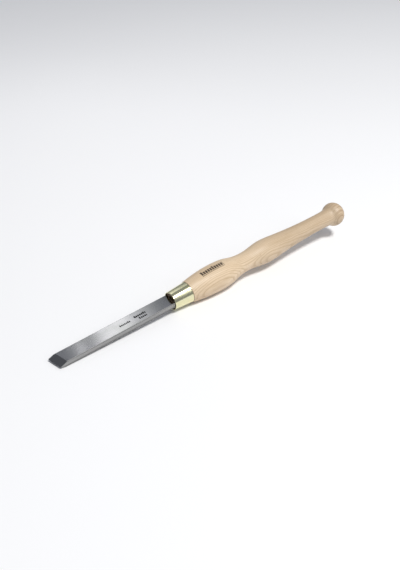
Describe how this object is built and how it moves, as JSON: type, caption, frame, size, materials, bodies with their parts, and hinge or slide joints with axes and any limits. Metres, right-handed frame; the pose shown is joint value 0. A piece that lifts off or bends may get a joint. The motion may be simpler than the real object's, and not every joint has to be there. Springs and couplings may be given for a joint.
{
  "type": "woodturning skew chisel",
  "caption": "Flat steel blade with a skewed double bevel, bonded by its tang into a long turned ash handle with two swells, a ball end and a tapered brass ferrule.",
  "frame": {"origin": "on the tool's own axis, halfway between the blade's long point and the butt of the handle", "axes": "+X along the axis from the cutting edge to the butt, +Y towards the side of the blade with the long point, +Z out of the blade's upper wide face"},
  "size_m": [0.46, 0.036, 0.0361],
  "materials": {
    "blade_steel": "cross-ground faces, darker freshly ground bevels, brighter rolled edges",
    "ferrule_brass": "polished, pale, fine turning marks round the cone",
    "handle_ash": "pale ash, sanded and satin lacquered",
    "cured_adhesive": "cured epoxy"
  },
  "bodies": {
    "root": {"blade": "blade_steel", "ferrule": "ferrule_brass", "handle": "handle_ash", "tang_adhesive": "cured_adhesive"}
  },
  "joints": []
}
